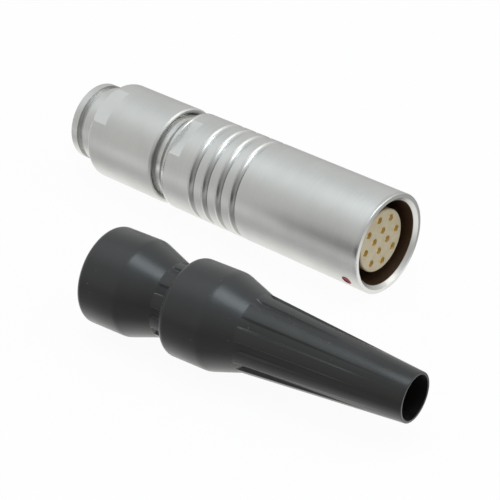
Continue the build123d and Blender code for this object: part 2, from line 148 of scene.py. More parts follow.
class Shader:
    """One node tree, written as expressions."""

    def __init__(self, owner: bpy.types.Material | bpy.types.World) -> None:
        """Empty the owner's tree for new nodes.

        Args:
            owner: The material or the world that wears the tree.
        """
        self.owner = owner
        self.owner.use_nodes = True
        self.tree = self.owner.node_tree
        self.tree.nodes.clear()

    @classmethod
    def named(cls, name: str) -> "Shader":
        """The empty tree of a new material."""
        return cls(bpy.data.materials.new(name))

    def node(
        self,
        kind: str,
        settings: dict[str, object] | None = None,
        inputs: dict[int | str, object] | None = None,
    ) -> bpy.types.Node:
        """Add one node.

        Args:
            kind: The node's type.
            settings: Its properties, set first.
            inputs: Values or sockets by input name or number.

        Returns:
            The new node.
        """
        node = self.tree.nodes.new(kind)
        for name, value in (settings or {}).items():
            setattr(node, name, value)
        for name, value in (inputs or {}).items():
            if isinstance(value, Sock):
                self.tree.links.new(value.out, node.inputs[name])
            else:
                node.inputs[name].default_value = value
        return node

    def value(
        self,
        kind: str,
        settings: dict[str, object] | None = None,
        inputs: dict[int | str, object] | None = None,
        output: int | str = 0,
    ) -> Sock:
        """Add one node and take one of its outputs.

        Args:
            kind: The node's type.
            settings: Its properties.
            inputs: Values or sockets by input name or number.
            output: The output's name or number.

        Returns:
            The output, ready for expressions.
        """
        return Sock(self, self.node(kind, settings, inputs).outputs[output])

    def place(self) -> Sock:
        """The Object coordinates, in metres."""
        return self.value("ShaderNodeTexCoord", output="Object")

    def mapped(self, turn: Triple = ZERO, origin: Triple = ZERO) -> Sock:
        """Object coordinates in millimetres, turned and centred on a piece.

        Args:
            turn: Angles about X, Y and Z, in degrees, of the piece's own axes.
            origin: The piece's own origin, in millimetres.

        Returns:
            The piece's own coordinates.
        """
        settings = {"vector_type": "TEXTURE"}
        inputs = {
            "Vector": self.place(),
            "Location": [c * MM for c in origin],
            "Rotation": [math.radians(c) for c in turn],
            "Scale": [MM, MM, MM],
        }
        return self.value("ShaderNodeMapping", settings, inputs)

    def axes(self, vector: Sock) -> list[Sock]:
        """The three parts of a vector."""
        split = self.node("ShaderNodeSeparateXYZ", inputs={"Vector": vector})
        return [Sock(self, out) for out in split.outputs]

    def joined(self, x: Sock | float, y: Sock | float, z: Sock | float) -> Sock:
        """A vector of three values."""
        return self.value("ShaderNodeCombineXYZ", inputs={"X": x, "Y": y, "Z": z})

    def noise(self, vector: Sock, scale: float, detail: float, rough: float) -> Sock:
        """Soft noise.

        Args:
            vector: Where it is read.
            scale: How many lumps there are to a unit.
            detail: How many finer layers it has.
            rough: How strong these layers are.

        Returns:
            The noise, from 0 to 1 about 0.5.
        """
        inputs = {"Vector": vector, "Scale": scale, "Detail": detail, "Roughness": rough}
        return self.value("ShaderNodeTexNoise", {"noise_dimensions": "3D"}, inputs, "Fac")

    def specks(self, vector: Sock, scale: float, size: float) -> Sock:
        """Small separate dots.

        Args:
            vector: Where they are read.
            scale: How many cells there are to a unit.
            size: A dot's radius as a share of its cell.

        Returns:
            1 in a dot and 0 outside.
        """
        distance = self.value(
            "ShaderNodeTexVoronoi",
            {"feature": "F1"},
            {"Vector": vector, "Scale": scale, "Randomness": 1.0},
            "Distance",
        )
        return distance.ramp(size, 0.5 * size)

    def blend(self, share: Sock | float, first: object, second: object) -> Sock:
        """A mix of two colours.

        Args:
            share: 0 gives the first and 1 the second.
            first: A colour or a socket.
            second: A colour or a socket.

        Returns:
            The mixed colour.
        """
        colours = [c if isinstance(c, Sock) else (*c, 1.0) for c in (first, second)]
        settings = {"data_type": "RGBA", "clamp_factor": True}
        inputs = {0: share, 6: colours[0], 7: colours[1]}
        return self.value("ShaderNodeMix", settings, inputs, 2)

    def bump(self, height: Sock, depth: float) -> Sock:
        """A normal from a height.

        Args:
            height: The height, where 1 stands for the full depth.
            depth: That depth, in millimetres.

        Returns:
            The normal.
        """
        inputs = {"Height": height, "Distance": depth * MM, "Strength": 1.0}
        return self.value("ShaderNodeBump", inputs=inputs)

    def finish(self, **inputs: object) -> bpy.types.Material:
        """Close the tree with a Principled shader.

        Args:
            inputs: Its sockets, with underscores for spaces.

        Returns:
            The material.
        """
        named = {}
        for name, value in inputs.items():
            is_colour = isinstance(value, tuple) and "Radius" not in name
            named[name.replace("_", " ")] = (*value, 1.0) if is_colour else value
        surface = self.value("ShaderNodeBsdfPrincipled", inputs=named)
        self.node("ShaderNodeOutputMaterial", inputs={"Surface": surface})
        return self.owner


@dataclass(frozen=True)
class Plating:
    """A plated metal skin with fine turning marks about the X axis.

    Between the stations of bright, the tool cut below the outer radius, and there the skin is
    brighter, with its own roughness, and painted shade darkens the depth of a groove, most on its
    lower side.
    """

    name: str
    colour: Colour = (0.67, 0.67, 0.655)
    edge_colour: Colour = (0.76, 0.76, 0.75)
    roughness: float = 0.45
    edge_roughness: float = 0.34
    outer: float = 8.0
    bore: float = 0.0
    bore_shade_colour: Colour = (0.15, 0.095, 0.06)
    bright: Span = (-100.0, 10.0)
    groove_shade: float = 0.0
    grain: float = 0.0012
    fade: float = 0.02
    cut_depth: Span = (0.03, 0.09)
    groove_shade_depth: Span = (0.06, 0.3)
    groove_shade_height: Span = (7.2, 3.6)
    bore_reach: Span = (0.5, 0.3)
    bore_stations: Span = (-0.45, -0.65)
    rim_shade_stations: Span = (-0.8, -0.5)

    def ramp_below(self, radius: Sock, depths: Span) -> Sock:
        """A step from 0 to 1 between two depths under the outer radius."""
        return radius.ramp(self.outer - depths[0], self.outer - depths[1])

    def material(self) -> bpy.types.Material:
        """The satin skin, brighter where a tool cut below the outside, with painted shade deep in
        the grooves, a rim painted darker at the mouth and a bore painted dark as shade.

        Returns:
            The material.
        """
        shader = Shader.named(self.name)
        spot = shader.mapped()
        x, y, z = shader.axes(spot)
        radius = (y * y + z * z).root()
        below = self.ramp_below(radius, self.cut_depth)
        first, last = self.bright
        below = below * x.ramp(first - self.fade, first + self.fade)
        below = below * x.ramp(last + self.fade, last - self.fade)
        # Turning marks are fine along the axis and long round it.
        round_about = shader.joined(x * 9.0, y * 0.16, z * 0.16)
        marks = shader.noise(round_about, scale=1.0, detail=3.0, rough=0.7)
        blast = shader.noise(spot, scale=7.0, detail=2.0, rough=0.6)
        cloud = shader.noise(spot, scale=0.16, detail=3.0, rough=0.5)
        tone = shader.blend(cloud.ramp(0.3, 0.7), self.colour, [0.94 * c for c in self.colour])
        tone = shader.blend(marks.ramp(0.35, 0.75) * 0.35, tone, self.edge_colour)
        tone = shader.blend(below, tone, self.edge_colour)
        # Painted shade: deep in a cut groove the skin is darkened towards 0.4 of its colour, more
        # on the lower side than on top.
        deep = below * self.ramp_below(radius, self.groove_shade_depth)
        deep = deep * (z.ramp(*self.groove_shade_height) * 0.75 + 0.25)
        tone = shader.blend(deep * self.groove_shade, tone, [0.4 * c for c in self.colour])
        rough = self.roughness + (cloud - 0.5) * 0.09 + (marks - 0.5) * 0.10
        rough = rough - below * (self.roughness - self.edge_roughness)
        # Painted shade: the bore is painted dark brown, and the mouth's rim a little darker and
        # glossier.
        if self.bore:
            wide, narrow = self.bore_reach
            inside = radius.ramp(self.bore + wide, self.bore + narrow)
            inside = inside * x.ramp(*self.bore_stations)
            tone = shader.blend(inside, tone, self.bore_shade_colour)
            rim = x.ramp(*self.rim_shade_stations) * (1.0 - inside)
            tone = shader.blend(rim * 0.2, tone, [0.6 * c for c in self.colour])
            rough = rough + inside * 0.12 - rim * 0.09
        normal = shader.bump(marks * 0.6 + blast * 0.4, self.grain)
        return shader.finish(Base_Color=tone, Metallic=1.0, Roughness=rough, Normal=normal)


@dataclass(frozen=True)
class Gold:
    """Gold over the contacts, painted darker down their bores as shade."""

    name: str = "gold_plate"
    colour: Colour = (1.0, 0.76, 0.30)
    deep: Colour = (0.62, 0.38, 0.11)
    roughness: float = 0.3
    bore_shade_depth: Span = (-2.6, -4.5)

    def material(self) -> bpy.types.Material:
        """Warm gold with faint drawing marks along the tube, and a darker tone painted down its
        bore as shade.

        Returns:
            The material.
        """
        shader = Shader.named(self.name)
        spot = shader.mapped()
        x, y, z = shader.axes(spot)
        # Drawing marks are long along the tube and fine across it.
        along = shader.joined(x * 0.5, y * 14.0, z * 14.0)
        marks = shader.noise(along, scale=1.0, detail=2.0, rough=0.6)
        cloud = shader.noise(spot, scale=2.2, detail=2.0, rough=0.5)
        tone = shader.blend(cloud.ramp(0.35, 0.75) * 0.5, self.colour, self.deep)
        # Painted shade: the gold turns to the deep tone further down the contact's bore.
        tone = shader.blend(x.ramp(*self.bore_shade_depth) * 0.8, tone, self.deep)
        rough = self.roughness + (cloud - 0.5) * 0.14
        return shader.finish(
            Base_Color=tone,
            Metallic=1.0,
            Roughness=rough,
            Normal=shader.bump(marks, 0.002),
        )


@dataclass(frozen=True)
class Insulation:
    """Cream high-temperature plastic, moulded and faced."""

    name: str = "cream_plastic"
    colour: Colour = (0.54, 0.465, 0.32)
    fleck: Colour = (0.47, 0.385, 0.25)
    side: Colour = (0.50, 0.30, 0.12)
    hole_reflection: Colour = (0.74, 0.53, 0.17)
    roughness: float = 0.46
    side_shade_radius: Span = (4.9, 5.02)
    side_shade_depth: Span = (-1.62, -2.2)
    hole_reflection_radius: Span = (4.9, 4.8)
    hole_reflection_depth: Span = (-1.51, -1.7)

    def material(self) -> bpy.types.Material:
        """Cream face with faint flow marks, amber painted shade on its side in the mouth and a
        painted gold reflection in the contact holes.

        Returns:
            The material.
        """
        shader = Shader.named(self.name)
        spot = shader.mapped()
        x, y, z = shader.axes(spot)
        radius = (y * y + z * z).root()
        cloud = shader.noise(spot, scale=0.55, detail=3.0, rough=0.55)
        grit = shader.noise(spot, scale=9.0, detail=2.0, rough=0.6)
        tone = shader.blend(cloud.ramp(0.35, 0.7) * 0.55, self.colour, self.fleck)
        tone = shader.blend(grit.ramp(0.6, 0.8) * 0.25, tone, self.fleck)
        # Painted shade: the insulator's side inside the mouth is painted amber-brown.
        shaded_side = radius.ramp(*self.side_shade_radius) * x.ramp(*self.side_shade_depth)
        tone = shader.blend(shaded_side, tone, self.side)
        # Painted reflection: the contact holes' walls are painted gold-amber, as if lit by the
        # gold contacts.
        reflecting_holes = radius.ramp(*self.hole_reflection_radius) * x.ramp(*self.hole_reflection_depth)
        tone = shader.blend(reflecting_holes, tone, self.hole_reflection)
        rough = self.roughness + (grit - 0.5) * 0.16
        return shader.finish(
            Base_Color=tone,
            Roughness=rough,
            Subsurface_Weight=0.06,
            Subsurface_Radius=(1.0, 0.7, 0.4),
            Subsurface_Scale=0.4 * MM,
            Normal=shader.bump(grit * 0.7 + cloud * 0.3, 0.008),
        )


@dataclass(frozen=True)
class Enamel:
    """Red enamel in the round recess."""

    name: str = "red_enamel"
    colour: Colour = (0.34, 0.003, 0.002)
    worn: Colour = (0.24, 0.004, 0.003)
    roughness: float = 0.3

    def material(self) -> bpy.types.Material:
        """Glossy red that pooled a little in its recess.

        Returns:
            The material.
        """
        shader = Shader.named(self.name)
        spot = shader.mapped()
        cloud = shader.noise(spot, scale=2.4, detail=3.0, rough=0.5)
        grit = shader.noise(spot, scale=12.0, detail=2.0, rough=0.6)
        return shader.finish(
            Base_Color=shader.blend(cloud.ramp(0.4, 0.65), self.colour, self.worn),
            Roughness=self.roughness + (grit - 0.5) * 0.2,
            Specular_IOR_Level=0.08,
            Normal=shader.bump(cloud, 0.012),
        )


@dataclass(frozen=True)
class Rubber:
    """Soft black moulding with a fine matt skin."""

    name: str = "black_rubber"
    colour: Colour = (0.0052, 0.0049, 0.0046)
    pale: Colour = (0.0105, 0.0102, 0.0098)
    top_light: Colour = (0.028, 0.029, 0.031)
    dust: Colour = (0.22, 0.22, 0.22)
    roughness: float = 0.31
    top_light_height: Span = (0.5, 7.5)
    turn: Triple = ZERO
    origin: Triple = ZERO

    def material(self) -> bpy.types.Material:
        """Charcoal skin with a moulded grain, painted light on top and a little dust.

        Returns:
            The material.
        """
        shader = Shader.named(self.name)
        spot = shader.mapped(self.turn, self.origin)
        cloud = shader.noise(spot, scale=0.12, detail=4.0, rough=0.6)
        skin = shader.noise(spot, scale=5.5, detail=3.0, rough=0.65)
        fine = shader.noise(spot, scale=16.0, detail=2.0, rough=0.5)
        tone = shader.blend(cloud.ramp(0.35, 0.7) * 0.55, self.colour, self.pale)
        tone = shader.blend(skin.ramp(0.55, 0.8) * 0.35, tone, self.pale)
        # Painted light: the upper side as the boot lies is made paler and bluish, mottled by the
        # cloud.
        height = shader.axes(shader.place())[2] * (1 / MM) - self.origin[2]
        lit_top = height.ramp(*self.top_light_height) * (cloud * 0.6 + 0.5)
        tone = shader.blend(lit_top, tone, self.top_light)
        dusty = shader.specks(spot, scale=0.8, size=0.07) * cloud.ramp(0.42, 0.6)
        tone = shader.blend(dusty * 0.7, tone, self.dust)
        rough = self.roughness + (cloud - 0.5) * 0.14 + (skin - 0.5) * 0.1 + dusty * 0.3
        return shader.finish(
            Base_Color=tone,
            Roughness=rough,
            Specular_IOR_Level=0.58,
            Sheen_Weight=0.14,
            Sheen_Roughness=0.35,
            Normal=shader.bump(skin * 0.7 + fine * 0.3, 0.006),
        )


class Bench:
    """Edit-mode steps on pieces that are round about the X axis. Its sizes are in millimetres."""

    MERGE: float = 0.002
    FINE_MERGE: float = 0.001
    RING_REACH: float = 0.004
    PINHOLE: float = 0.0008
    ARC_STEP: float = 11.0

    @staticmethod
    def clear() -> None:
        """Leave edit mode with nothing selected."""
        if bpy.context.object and bpy.context.object.mode != "OBJECT":
            bpy.ops.object.mode_set(mode="OBJECT")
        bpy.ops.object.select_all(action="DESELECT")

    @staticmethod
    def take(piece: bpy.types.Object) -> None:
        """Select one piece and make it active.

        Args:
            piece: The piece that the next operators act on.
        """
        Bench.clear()
        bpy.context.view_layer.objects.active = piece
        piece.select_set(True)

    @staticmethod
    def rounded(corners: list[Corner]) -> list[Point]:
        """Round the corners of an open outline.

        Args:
            corners: Stations, radii about the axis and each corner's own rounding.

        Returns:
            The outline's points, with an arc in place of each rounded corner.
        """
        points: list[Point] = []
        for number, (station, radius, rounding) in enumerate(corners):
            corner = Vector((station, radius))
            if not rounding:
                points.append((station, radius))
                continue
            before = (Vector(corners[number - 1][:2]) - corner).normalized()
            after = (Vector(corners[number + 1][:2]) - corner).normalized()
            half = 0.5 * before.angle(after)
            middle = corner + (before + after).normalized() * rounding / math.sin(half)
            reach = rounding / math.tan(half)
            first, last = corner + before * reach - middle, corner + after * reach - middle
            steps = max(2, round(math.degrees(math.pi - 2 * half) / Bench.ARC_STEP))
            for step in range(steps + 1):
                spoke = first.lerp(last, step / steps).normalized() * rounding
                points.append(tuple(middle + spoke))
        return points

    @staticmethod
    def turn(name: str, outline: list[Point], steps: int) -> bpy.types.Object:
        """Draw a closed outline out ring by ring.

        Args:
            name: The piece's name.
            outline: Stations and radii in millimetres, outside first.
            steps: How many points each ring has.

        Returns:
            The turned piece, with its doubles merged and its faces pointing out.
        """
        Bench.clear()
        (start, radius), *rest = outline
        bpy.ops.mesh.primitive_circle_add(
            vertices=steps,
            radius=radius * MM,
            location=(start * MM, 0, 0),
            rotation=(0, math.pi / 2, 0),
        )
        piece = bpy.context.object
        piece.name = piece.data.name = name
        bpy.ops.object.transform_apply(location=True, rotation=True, scale=True)
        bpy.ops.object.mode_set(mode="EDIT")
        bpy.ops.mesh.select_all(action="SELECT")
        for station, ring in rest + [outline[0]]:
            move = {"value": ((station - start) * MM, 0, 0)}
            bpy.ops.mesh.extrude_region_move(TRANSFORM_OT_translate=move)
            share = ring / radius
            bpy.ops.transform.resize(
                value=(1, share, share), center_override=(station * MM, 0, 0)
            )
            start, radius = station, ring
        bpy.ops.mesh.select_all(action="SELECT")
        bpy.ops.mesh.remove_doubles(threshold=Bench.MERGE * MM)
        bpy.ops.mesh.delete_loose(use_verts=True, use_edges=True, use_faces=False)
        bpy.ops.mesh.select_all(action="SELECT")
        bpy.ops.mesh.normals_make_consistent(inside=False)
        bpy.ops.object.mode_set(mode="OBJECT")
        return piece

    @staticmethod
    def ring(piece: bpy.types.Object, station: float, radius: float) -> list[tuple[int, float]]:
        """The points of one ring.

        Args:
            piece: The turned piece.
            station: The ring's station in millimetres.
            radius: Its radius in millimetres.

        Returns:
            Each point's index and its turn from +Y, in degrees.
        """
        found = []
        for point in piece.data.vertices:
            x, y, z = point.co / MM
            aside = max(abs(x - station), abs(math.hypot(y, z) - radius))
            if aside < Bench.RING_REACH:
                found.append((point.index, math.degrees(math.atan2(z, y))))
        return found

    @staticmethod
    def shrink(piece: bpy.types.Object, points: list[int], station: float, share: float) -> None:
        """Draw some points of a ring in towards the axis.

        Args:
            piece: The turned piece.
            points: Their indices.
            station: The ring's station in millimetres.
            share: What is left of their radius.
        """
        Bench.take(piece)
        bpy.ops.object.mode_set(mode="EDIT")
        bpy.ops.mesh.select_mode(type="VERT")
        bpy.ops.mesh.select_all(action="DESELECT")
        bpy.ops.object.mode_set(mode="OBJECT")
        for index in points:
            piece.data.vertices[index].select = True
        bpy.ops.object.mode_set(mode="EDIT")
        bpy.ops.transform.resize(value=(1, share, share), center_override=(station * MM, 0, 0))
        bpy.ops.object.mode_set(mode="OBJECT")

    @staticmethod
    def lay(piece: bpy.types.Object, place: Triple, turns: Triple) -> None:
        """Turn and move a piece to its place, and leave its object at the origin.

        Args:
            piece: The piece, drawn about the X axis.
            place: Where its origin goes, in millimetres.
            turns: Angles about X, Y and Z, in degrees.
        """
        Bench.take(piece)
        piece.rotation_euler = [math.radians(turn) for turn in turns]
        piece.location = [c * MM for c in place]
        bpy.ops.object.transform_apply(location=True, rotation=True, scale=True)

    @staticmethod
    def smooth(piece: bpy.types.Object, angle: float) -> None:
        """Shade smooth across edges under an angle in degrees."""
        Bench.take(piece)
        bpy.ops.object.shade_smooth_by_angle(angle=math.radians(angle))


def dress(piece: bpy.types.Object, material: bpy.types.Material) -> None:
    """Give a piece or a carried-over node its one material.

    Args:
        piece: The object.
        material: Its finish.
    """
    if not piece.data.materials:
        piece.data.materials.append(material)
    for slot in piece.material_slots:
        slot.link = "OBJECT"
        slot.material = material
    LOG.info("%s wears %s", piece.name, material.name)


def dress_node(name: str, material: bpy.types.Material) -> None:
    """Give a node of the frame its finish.

    Args:
        name: The node's name.
        material: Its finish.
    """
    dress(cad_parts[name], material)


@dataclass
class Housing:
    """The outer shell with its red mark."""

    radius: float = 8.0
    grooves: Span = (-33.5, -23.2)
    mouth_bore: float = 6.75
    mark_radius: float = 0.72
    mark_play: float = 0.01
    mark_lap: float = 0.13
    mark_skirt: float = 0.03
    mark_rise: float = 0.012
    mark_dish: float = 0.10
    mark_floor: float = 0.28
    mark_setback: float = 2.45
    mark_steps: int = 64
    mark_crease: float = 50.0
    key_turn: float = 210.4

    def build_mark(self) -> bpy.types.Object:
        """Turn the drop of enamel: it fills the recess, laps its rim and sinks in the middle.

        Returns:
            The mark, on the shell over the keyway.
        """
        plug = self.mark_radius - self.mark_play
        lap = self.mark_radius + self.mark_lap
        # Each corner's height over the shell, its radius and its rounding.
        section = [
            (-self.mark_floor, Bench.PINHOLE, 0.0),
            (-self.mark_floor, plug, 0.05),
            (-self.mark_skirt, plug, 0.0),
            (-self.mark_skirt, lap, 0.0),
            (self.mark_rise, lap - self.mark_skirt, 0.02),
            (0.5 * self.mark_rise, 0.8 * lap, 0.3),
            (-0.8 * self.mark_dish, 0.45 * lap, 0.6),
            (-self.mark_dish, Bench.PINHOLE, 0.0),
        ]
        mark = Bench.turn("enamel_mark", Bench.rounded(section), self.mark_steps)
        reach = math.radians(self.key_turn)
        place = (-self.mark_setback, self.radius * math.cos(reach), self.radius * math.sin(reach))
        Bench.lay(mark, ZERO, (0.0, 0.0, 90.0))
        Bench.lay(mark, place, (self.key_turn, 0.0, 0.0))
        Bench.smooth(mark, self.mark_crease)
        return mark

    def dress(self) -> None:
        """Satin plating outside with painted shade in its grooves and bore, and red enamel over
        the key.
        """
        skin = Plating(
            "shell_plate",
            outer=self.radius,
            bore=self.mouth_bore,
            bright=self.grooves,
            groove_shade=0.8,
        )
        dress_node("shell", skin.material())
        mark = self.build_mark()
        dress(mark, Enamel().material())
        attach(mark, Body.CONNECTOR.value)
        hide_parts("key_mark")


@dataclass
class Insert:
    """The insulator and its twelve contacts."""

    outer_count: int = 8
    inner_count: int = 4

    def dress(self) -> None:
        """Cream plastic for both insulators, and gold for every contact."""
        plastic = Insulation().material()
        for name in ("insulator_front", "insulator_rear"):
            dress_node(name, plastic)
        gold = Gold().material()
        for ring, count in (("outer", self.outer_count), ("inner", self.inner_count)):
            for number in range(1, count + 1):
                dress_node(f"contact_{ring}_{number}", gold)


@dataclass
class RearHardware:
    """The inner body and the hidden clamp pieces behind the insulator."""

    neck: float = 6.97
    relief: Span = (-45.6, -41.5)
    thread_start: float = -45.9
    thread_turns: int = 4
    pitch: float = 1.0
    thread_depth: float = 0.5
    steps: int = 120
    crease: float = 30.0
    hidden: tuple[str, ...] = (
        "retaining_ring",
        "earthing_crown",
        "carrier_upper",
        "carrier_lower",
        "collet",
    )

    def wind_cutter(self) -> bpy.types.Object:
        """Wind a three-sided ridge round the axis, right-handed, as the thread's groove.

        Returns:
            The closed ridge.
        """
        Bench.clear()
        bpy.ops.mesh.primitive_circle_add(
            vertices=3,
            radius=self.thread_depth * MM,
            location=(self.thread_start * MM, 0, self.neck * MM),
            rotation=(-math.pi / 2, 0, 0),
        )
        cutter = bpy.context.object
        cutter.name = cutter.data.name = "thread_groove"
        bpy.ops.object.transform_apply(location=True, rotation=True, scale=True)
        bpy.ops.object.modifier_add(type="SCREW")
        wind = cutter.modifiers[-1]
        wind.axis = "X"
        wind.angle = math.tau
        wind.screw_offset = self.pitch * MM
        wind.iterations = self.thread_turns
        wind.steps = wind.render_steps = self.steps
        bpy.ops.object.modifier_apply(modifier=wind.name)
        bpy.ops.object.mode_set(mode="EDIT")
        bpy.ops.mesh.select_all(action="SELECT")
        bpy.ops.mesh.fill_holes(sides=3)
        bpy.ops.mesh.select_all(action="SELECT")
        bpy.ops.mesh.normals_make_consistent(inside=False)
        bpy.ops.object.mode_set(mode="OBJECT")
        return cutter

    def cut_thread(self) -> bpy.types.Object:
        """Cut the fine thread into a copy of the inner body.

        Returns:
            The threaded inner body.
        """
        cutter = self.wind_cutter()
        Bench.take(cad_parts["inner_body"])
        bpy.ops.object.duplicate()
        body = bpy.context.object
        body.name = body.data.name = "threaded_body"
        bpy.ops.mesh.customdata_custom_splitnormals_clear()
        bpy.ops.object.mode_set(mode="EDIT")
        bpy.ops.mesh.select_all(action="SELECT")
        bpy.ops.mesh.remove_doubles(threshold=Bench.FINE_MERGE * MM)
        bpy.ops.object.mode_set(mode="OBJECT")
        bpy.ops.object.modifier_add(type="BOOLEAN")
        cut = body.modifiers[-1]
        cut.operation = "DIFFERENCE"
        cut.solver = "EXACT"
        cut.object = cutter
        bpy.ops.object.modifier_apply(modifier=cut.name)
        Bench.take(cutter)
        bpy.ops.object.delete()
        Bench.take(body)
        bpy.ops.object.mode_set(mode="EDIT")
        bpy.ops.mesh.select_all(action="SELECT")
        bpy.ops.mesh.remove_doubles(threshold=Bench.FINE_MERGE * MM)
        bpy.ops.mesh.dissolve_degenerate(threshold=Bench.FINE_MERGE * MM)
        bpy.ops.mesh.delete_loose(use_verts=True, use_edges=True, use_faces=False)
        bpy.ops.mesh.select_all(action="SELECT")
        bpy.ops.mesh.quads_convert_to_tris()
        bpy.ops.object.mode_set(mode="OBJECT")
        Bench.smooth(body, self.crease)
        return body

    def dress(self) -> None:
        """Bright plating with painted shade in its relief groove on the threaded inner body, and
        nickel on the hidden pieces.
        """
        bright = Plating(
            "inner_body_plate",
            colour=(0.68, 0.68, 0.67),
            edge_colour=(0.66, 0.66, 0.65),
            roughness=0.27,
            edge_roughness=0.27,
            outer=self.neck,
            bright=self.relief,
            groove_shade=0.95,
        )
        body = self.cut_thread()
        dress(body, bright.material())
        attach(body, Body.CONNECTOR.value)
        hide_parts("inner_body")
        nickel = Plating(
            "nickel_brass",
            colour=(0.62, 0.59, 0.53),
            edge_colour=(0.70, 0.67, 0.60),
            roughness=0.3,
            outer=9.0,
        )
        finish = nickel.material()
        for name in self.hidden:
            dress_node(name, finish)


@dataclass
class ColletNut:
    """The nut that clamps the cable and carries the boot."""

    radius: float = 8.0
    groove: Span = (-58.9, -57.7)

    def dress(self) -> None:
        """The same satin plating as the shell, with painted shade in its groove."""
        skin = Plating("nut_plate", outer=self.radius, bright=self.groove, groove_shade=0.45)
        dress_node("collet_nut", skin.material())


@dataclass
class BendRelief:
    """The soft boot beside the connector.

    Stations are measured from its open cup. The radii are those of the cup, the neck, the taper's
    two ends, the cable's bore, and the band and the bead inside the cup. A value that ends in
    round is a corner's rounding. Each of the gap_edges gives a range of angles from a gap's
    middle, and how much of its depth is cut there.
    """

    length: float = 52.8
    lip: float = 0.4
    cup: float = 7.4
    cup_run: float = 7.4
    neck: float = 5.65
    neck_start: float = 12.5
    neck_end: float = 14.95
    bulge_end: float = 22.1
    taper_start: float = 27.0
    ribs_end: float = 47.5
    taper: float = 5.8
    tail: float = 3.65
    tail_run: float = 4.0
    bore: float = 3.25
    bore_start: float = 8.0
    cup_floor: float = 4.8
    floor_step: float = 1.45
    band: float = 6.05
    bead: float = 5.55
    bead_run: Span = (2.15, 3.4)
    mouth_bevel: float = 0.3
    lip_round: float = 1.0
    cup_round: float = 2.4
    neck_round: float = 0.8
    bulge_front_round: float = 1.25
    bulge_round: float = 3.0
    taper_round: float = 0.6
    tail_round: float = 0.14
    hole_round: float = 0.1
    bore_round: float = 1.2
    step_round: float = 0.3
    floor_round: float = 0.2
    bead_round: float = 0.15
    ribs: int = 10
    neck_cut: float = 0.4
    taper_cut: float = 0.5
    gap_start: float = 0.4
    gap_setback: float = 1.2
    gap_shares: tuple[float, ...] = (0.0, 0.2, 0.4, 0.6, 0.8)
    gap_edges: tuple[Triple, ...] = ((0.0, 6.5, 1.0), (6.5, 7.5, 0.9), (7.5, 8.5, 0.12))
    place: Triple = (-27.1, -32.4, -0.6)
    turns: Triple = (133.8, 0.0, 4.9)
    steps: int = 360
    crease: float = 62.0

    def on_taper(self, station: float) -> float:
        """The outer radius at a station of the long taper."""
        share = (station - self.taper_start) / (self.length - self.taper_start)
        return self.taper + share * (self.tail - self.taper)

    def gap_rings(self) -> list[Triple]:
        """Where the gaps between the ribs lie.

        Returns:
            Each ring's station, its radius on the ribs and the gap's depth there.
        """
        rings = [
            (self.neck_start + self.gap_start, self.neck, self.neck_cut),
            (self.neck_end, self.neck, self.neck_cut),
        ]
        deepest = self.taper_start + self.gap_setback
        for share in self.gap_shares:
            station = deepest + share * (self.ribs_end - deepest)
            rings.append((station, self.on_taper(station), self.taper_cut * (1 - share)))
        return rings

    def outline(self) -> list[Point]:
        """Draw the whole section: outside from the cup's mouth to the tail, then back inside.

        Returns:
            The outline's stations and radii.
        """
        mouth = (self.lip, self.band + self.mouth_bevel, 0.0)
        bead_start, bead_end = self.bead_run
        rings = [(station, radius, 0.0) for station, radius, _ in self.gap_rings()]
        outside = [
            mouth,
            (self.lip, self.cup, self.lip_round),
            (self.cup_run, self.cup, self.cup_round),
            (self.neck_start, self.neck, self.neck_round),
            *rings[:2],
            (self.neck_end, self.cup, self.bulge_front_round),
            (self.bulge_end, self.cup, self.bulge_round),
            (self.taper_start, self.taper, self.taper_round),
            *rings[2:],
            (self.ribs_end, self.on_taper(self.ribs_end), 0.0),
            (self.length, self.tail, self.tail_round),
            (self.length, self.bore, self.hole_round),
        ]
        inside = [
            (self.length - self.tail_run, self.bore, 0.0),
            (self.bore_start, self.bore, self.bore_round),
            (self.cup_floor, self.band - self.floor_step, self.step_round),
            (self.cup_floor, self.band, self.floor_round),
            (bead_end, self.band, self.bead_round),
            (bead_end, self.bead, self.bead_round),
            (bead_start, self.bead, self.bead_round),
            (bead_start, self.band, self.bead_round),
            (self.lip, self.band, self.bead_round),
            mouth,
        ]
        return Bench.rounded(outside + inside)[:-1]

    def build(self) -> bpy.types.Object:
        """Turn the section, press the gaps in between the ribs, and lay the boot down.

        Returns:
            The boot.
        """
        piece = Bench.turn("boot_moulding", self.outline(), self.steps)
        pitch = 360 / self.ribs
        for station, radius, depth in self.gap_rings():
            ring = Bench.ring(piece, station, radius)
            for low, high, part in self.gap_edges:
                points = [
                    index
                    for index, angle in ring
                    if low <= abs((angle + 0.5 * pitch) % pitch - 0.5 * pitch) < high
                ]
                Bench.shrink(piece, points, station, 1 - depth * part / radius)
        Bench.lay(piece, self.place, self.turns)
        Bench.smooth(piece, self.crease)
        return piece

    def dress(self) -> None:
        """Charcoal rubber on the finished moulding, which stands for the plain solid."""
        boot = self.build()
        dress(boot, Rubber(turn=self.turns, origin=self.place).material())
        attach(boot, Body.CONNECTOR.value)
        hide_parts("boot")


@dataclass(frozen=True)
class Lamp:
    """A square soft box, with its place and size in metres and its power in watts."""

    name: str
    place: Triple
    size: float
    power: float
    tint: Colour = (1.0, 1.0, 1.0)


@dataclass(frozen=True)
class Patch:
    """A part of the room that is lighter or dimmer, between two angles round its direction."""

    direction: Triple
    inner: float
    outer: float
    gain: float


